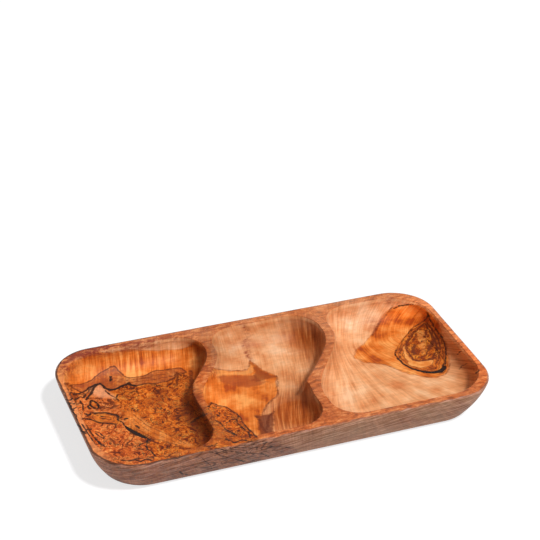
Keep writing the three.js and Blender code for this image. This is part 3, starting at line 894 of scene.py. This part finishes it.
# Deep orange and pale streaks in the sapwood, where the deep orange on the right walls of the hollows is
# painted shade; the heartwood in it, and the brown crown between heartwood and burl.
for name, along, stops in (
    ("amber_and_painted_shade", broad, [(0.38, "#96420f"), (0.5, "#b65a20"), (0.62, "#d28043")]),
    ("pale", tone, [(0.4, "#e0a070"), (0.5, "#efbd92"), (0.6, "#f8d4b2")]),
):
    share = add(tree, "Attribute", attribute_name=name, out="Fac")
    sapwood = add(tree, "Mix", share, sapwood, add(tree, "ValToRGB", along, stops=stops), data_type="RGBA")
heart = depth_of(tree, "heart", flat, 6, 0.9)
colour = edged(tree, sapwood, heartwood, heart, 1.3, "#8a4420", 0.9, 0.25)
crown = depth_of(tree, "crown", flat, 4, 0.7)
colour = edged(tree, colour, crown_wood, crown, 0.6, "#4a1d10", 0.9, 0.75)
# Burl: mottled wood with ink-dark squiggles, redder and lighter round the left knots.
burl = depth_of(tree, "burl", flat, 4, 0.9)
burl_wood = add(tree, "ValToRGB", mottle, stops=[(0.39, "#7a2c08"), (0.46, "#bb5410"), (0.53, "#dc7020"),
                                                 (0.62, "#f59a42")])
deep = add(tree, "MapRange", cloud, 0.42, 0.56, 0.4, 0)
burl_wood = add(tree, "Mix", deep, burl_wood, "#8a3a0c", data_type="RGBA")
to_left = add(tree, "MapRange", add(tree, "SeparateXYZ", flat, out="X"), -60, -95, 0.4, 0.95)
colour = edged(tree, colour, burl_wood, burl, 0.7, "#231a1c", 1.1, to_left)
for name, reach, soft, stops in (
    ("knotty", 1.2, 3, [(0.36, "#9a4012"), (0.5, "#d0692a"), (0.64, "#f2a05e")]),
    ("russet", 0.7, 1.5, [(0.36, "#963810"), (0.5, "#cc6022"), (0.64, "#f29a50")]),
):
    redder = add(tree, "ValToRGB", mottle, stops=stops)
    colour = laid_on(tree, colour, redder, depth_of(tree, name, flat, 4, reach), soft)
in_burl = add(tree, "MapRange", burl, -0.5, 1, 0, 1, interpolation_type="SMOOTHSTEP")
ink = add(tree, "Math", in_burl, squiggles(tree, flat), operation="MULTIPLY")
colour = add(tree, "Mix", ink, colour, "#3a140a", data_type="RGBA")
# Lighter wood over the burl, stains in the middle hollow, the dark right wall of the left one, which is dark
# burl with painted shade over it, and the knots.
for name, tint, share, size, reach, soft in (
    ("peach", "#f2a878", 0.7, 4, 1.2, 2.5),
    ("band", heartwood, 0.6, 5, 0.9, 1.5),
    ("lens", "#f2a860", 0.6, 4, 1.1, 1.5),
    ("stain", "#a34a20", 0.8, 4, 1.1, 1.8),
    ("wedge", "#8a3a14", 0.8, 4, 1.1, 1.2),
    ("brown", "#6e2c14", 0.85, 4, 1.1, 1.2),
    # The right wall of the left hollow: dark burl, darkened further as painted shade.
    ("dark_burl_and_painted_shade", "#5a240f", 0.5, 4, 1.1, 3),
):
    dyed = add(tree, "Mix", share, colour, tint, data_type="RGBA")
    colour = laid_on(tree, colour, dyed, depth_of(tree, name, flat, size, reach), soft)
knot = depth_of(tree, "knot", flat, 4, 0.5)
colour = laid_on(tree, colour, knot_figure(tree, flat, knot), knot, 0.4)
# The rim is cut across the grain: short spots of red and tan, with a blush along the back.
x, y, z = (add(tree, "SeparateXYZ", place, out=axis) for axis in "XYZ")
front_rim = add(tree, "MapRange", y, -50, 60, 0.85, 0.65)
plain = add(tree, "MapRange", burl, -2, 2, 1, add(tree, "MapRange", x, -143, -136, 0.9, 0.3))
front_rim = add(tree, "Math", front_rim, plain, operation="MULTIPLY")
flush = add(tree, "MapRange", z, HEIGHT - 1.1, HEIGHT - 0.3, 0, front_rim, interpolation_type="SMOOTHSTEP")
long = add(tree, "VectorMath", place, (1 / 7, 1 / 3, 1 / 3), operation="MULTIPLY")
spots = add(tree, "TexNoise", Vector=long, Scale=1, Detail=5, Roughness=0.68, Distortion=0.6)
rim_wood = add(tree, "ValToRGB", spots, stops=[(0.38, "#883a18"), (0.46, "#b85626"), (0.54, "#cd6b33"),
                                               (0.64, "#e48f56")])
at_end = add(tree, "MapRange", x, -138, -145, 0, 0.5)
rim_wood = add(tree, "Mix", at_end, rim_wood, "#ea9a62", data_type="RGBA")
colour = add(tree, "Mix", flush, colour, rim_wood, data_type="RGBA")
blush = add(tree, "Attribute", attribute_name="blush", out="Fac")
here = add(tree, "MapRange", spots, 0.42, 0.58, 1.3, 0.15)
here = add(tree, "Math", here, blush, operation="MULTIPLY")
colour = add(tree, "Mix", here, colour, "#8f3d26", data_type="RGBA")
# The outer walls are painted greyer and darker, as they look in shade, with sawn layers and a dark line under
# the rim.
outer = depth_of(tree, "outer", flat, 9, 0.8)
lie = add(tree, "VectorMath", place, (0.06, 0.06, 0), operation="MULTIPLY")
rise = add(tree, "VectorMath", place, (-0.14, 0.25, 1.1), operation="DOT_PRODUCT")
lie = add(tree, "VectorMath", lie, add(tree, "CombineXYZ", 0, 0, rise), operation="ADD")
sawn = add(tree, "TexNoise", Vector=lie, Scale=1, Detail=5, Roughness=0.7)
grey = add(tree, "ValToRGB", sawn, stops=[(0.38, "#553a2f"), (0.48, "#8b6453"), (0.55, "#a87f6d"),
                                          (0.64, "#c79f8f")])
# Greyer and darker than the top: painted shade.
outer_wood_with_painted_shade = add(tree, "Mix", 0.75, colour, grey, data_type="RGBA")
low = add(tree, "VectorMath", place, (0.035, 0.035, 0.1), operation="MULTIPLY")
layers = add(tree, "TexNoise", Vector=low, Scale=1, Detail=2, Distortion=0.8)
levels = add(tree, "Math", add(tree, "Math", layers, 16, operation="MULTIPLY"), 1, operation="PINGPONG")
from_burl = add(tree, "Math", add(tree, "Math", x, 55, operation="ADD"), operation="ABSOLUTE")
left_part = add(tree, "MapRange", from_burl, 20, 45, 0.7, 0.1)
line = add(tree, "MapRange", levels, 0.05, 0.4, left_part, 0, interpolation_type="SMOOTHSTEP")
outer_wood_with_painted_shade = add(tree, "Mix", line, outer_wood_with_painted_shade, "#2e1a14", data_type="RGBA")
charred = add(tree, "MapRange", x, -60, -100, 0.1, 0.8)
colour = edged(tree, colour, outer_wood_with_painted_shade, outer, 0.5, "#3d241b", 1.0, charred)
colour = inked(tree, colour, flat)
# Single fibres are too fine to show, so the finest streaks are bundles of them, half a millimetre wide.
fine = streaks(tree, 0.5, 14)
fibres = add(tree, "MapRange", fine, 0.35, 0.65, 0.92, 1.06)
ripples = add(tree, "MapRange", streaks(tree, 9, 2.4), 0.38, 0.62, 0.94, 1.05)
lines = add(tree, "MapRange", streaks(tree, 1.2, 24, 4), 0.36, 0.6, 0.9, 1.05)
lines = add(tree, "Mix", add(tree, "MapRange", streaky, -0.8, 0, 0.2, 1), 1.0, lines)
# The tone patches scale the colour: painted shade on the right walls of the hollows and painted light in the
# right hollow, besides lighter and darker wood.
patches = add(tree, "Math", add(tree, "Attribute", attribute_name="tone", out="Fac"), 1, operation="ADD")
for shade in (fibres, ripples, lines, patches):
    colour = add(tree, "VectorMath", colour, Scale=shade, operation="SCALE")
coat(tree, colour, fine, (0.46, 0.58), 0.02, OIL_IOR)
tray.data.materials.clear()
tray.data.materials.append(olive_wood)
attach(tray, "root")
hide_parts("tray_body")

# Branch knot: the stub of a branch that the trunk grew round. Dark bark parts it from the wood about it.
# It sits in the floor of the right hollow like a plug, sanded and oiled flush with the rest.


def seat(name, node, material):
    """A plug for one of the sockets, cut off flush with the tray's surface."""
    piece = plug(name, SOCKETS[node], SOCKET_FLOOR + SEAT_GAP, SEAT_GAP)
    cut(piece, uncut_tray, "INTERSECT")
    if node == "knot_bark":
        neighbour = plug("neighbour", SOCKETS["branch_knot"], SOCKET_FLOOR, 0)
        cut(piece, neighbour, "DIFFERENCE")
        bpy.data.objects.remove(neighbour)
    lay_figure(piece)
    piece.data.materials.clear()
    piece.data.materials.append(material)
    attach(piece, "root")
    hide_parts(node)


# Knot wood, sanded and oiled: denser and darker than the trunk, with rings cut across.
knot_wood, tree = new_material("oiled_knot_wood")
_, flat = figure_place(tree)
knot = depth_of(tree, "knot", flat, 4, 0.5)
colour = inked(tree, knot_figure(tree, flat, knot), flat)
fine = add(tree, "TexNoise", Vector=flat, Scale=1 / 0.7, Detail=3)
coat(tree, colour, fine, (0.42, 0.54), 0.02, OIL_IOR)
seat("knot_plug", "branch_knot", knot_wood)

# Knot bark: the black crescent of bark along the front of that stub, caught between it and the trunk, and
# sanded down with them.

# Bark, sanded flush: near black, brittle and matt, with brown flecks.
BARK_IOR = 1.5
bark, tree = new_material("sanded_bark")
place, _ = figure_place(tree)
flecks = add(tree, "TexNoise", Vector=place, Scale=1 / 1.5, Detail=4, Roughness=0.7)
colour = add(tree, "ValToRGB", flecks, stops=[(0.4, "#1c1412"), (0.6, "#2e1c16"), (0.72, "#6b3a20")])
coat(tree, colour, flecks, (0.6, 0.8), 0.2, BARK_IOR)
seat("bark_crescent", "knot_bark", bark)

# Long knot: the stub of a thinner branch at the left end of the left hollow, cut at a slant by the gouge.
# It is of the same knot wood, and a dark ring parts it from the burl.
seat("long_knot_plug", "long_knot", knot_wood)

# Eye knot: a small twig beside it, of the same knot wood, cut nearly square.
# It sits inside a black ring of bark.
seat("eye_knot_plug", "eye_knot", knot_wood)

# Bark seam: a streak of bark that the wood closed over as it grew.
# The gouge laid it open in the floor of the left hollow, and it was sanded flush.
seat("bark_streak", "bark_seam", bark)
bpy.data.objects.remove(uncut_tray)

# Floor, light and camera: a pale board under one soft lamp and a dim white surround.
# The camera stands where the photograph was taken from.
FLOOR_REACH = 4000
floor_shell = bmesh.new()
bmesh.ops.create_grid(floor_shell, x_segments=1, y_segments=1, size=FLOOR_REACH)
floor = to_object(floor_shell, "floor")


def in_sight(tree):
    """One where a ray comes from the camera, a reflection or a clear piece, and zero where it only lights."""
    rays = ("Is Camera Ray", "Is Glossy Ray", "Is Transmission Ray")
    camera, glossy, clear = (add(tree, "LightPath", out=ray) for ray in rays)
    either = add(tree, "Math", camera, glossy, operation="MAXIMUM")
    return add(tree, "Math", either, clear, operation="MAXIMUM")


# White board: it looks white, keeps a faint shadow of the tray, and lights the tray as a pale floor does.
board, tree = new_material("white_board")
glow = add(tree, "Emission", "#ffffff", 0.74)
shadowed = add(tree, "BsdfDiffuse", "#98989a")
shown = add(tree, "AddShader", glow, shadowed)
pale = add(tree, "BsdfDiffuse", "#e2e2e0")
surface = add(tree, "MixShader", in_sight(tree), pale, shown)
tree.links.new(surface, tree.nodes["Material Output"].inputs["Surface"])
floor.data.materials.append(board)

KEY_STRENGTH = 3.1
KEY_SOFTNESS = 7
TOWARDS_KEY = Vector((0.27, -0.44, 0.86))
key_data = bpy.data.lights.new("key", "SUN")
key_data.energy = KEY_STRENGTH
key_data.angle = math.radians(KEY_SOFTNESS)
key = bpy.data.objects.new("key", key_data)
key.rotation_euler = TOWARDS_KEY.to_track_quat("Z", "Y").to_euler()
bpy.context.collection.objects.link(key)

AMBIENT = 0.18
world = bpy.data.worlds.new("studio")
world.use_nodes = True
tree = world.node_tree
strength = add(tree, "MapRange", in_sight(tree), 0, 1, AMBIENT, 1)
tree.links.new(strength, tree.nodes["Background"].inputs["Strength"])
tree.nodes["Background"].inputs["Color"].default_value = linear("#ffffff")
bpy.context.scene.world = world

CAMERA_AT = Vector((-372.7, -934.5, 710.1)) * MM
CAMERA_AIM = Vector((16.3, 50.9, 82.3)) * MM
CAMERA_LENS = 111.35
CAMERA_SENSOR = 36
CAMERA_ROLL = 1.289
camera_data = bpy.data.cameras.new("camera")
camera_data.lens = CAMERA_LENS
camera_data.sensor_width = CAMERA_SENSOR
camera = bpy.data.objects.new("camera", camera_data)
camera.location = CAMERA_AT
turn = (CAMERA_AIM - CAMERA_AT).to_track_quat("-Z", "Y").to_matrix().to_4x4()
camera.rotation_euler = (turn @ Matrix.Rotation(math.radians(CAMERA_ROLL), 4, "Z")).to_euler()
bpy.context.collection.objects.link(camera)
bpy.context.scene.camera = camera
bpy.context.scene.view_settings.view_transform = "Standard"
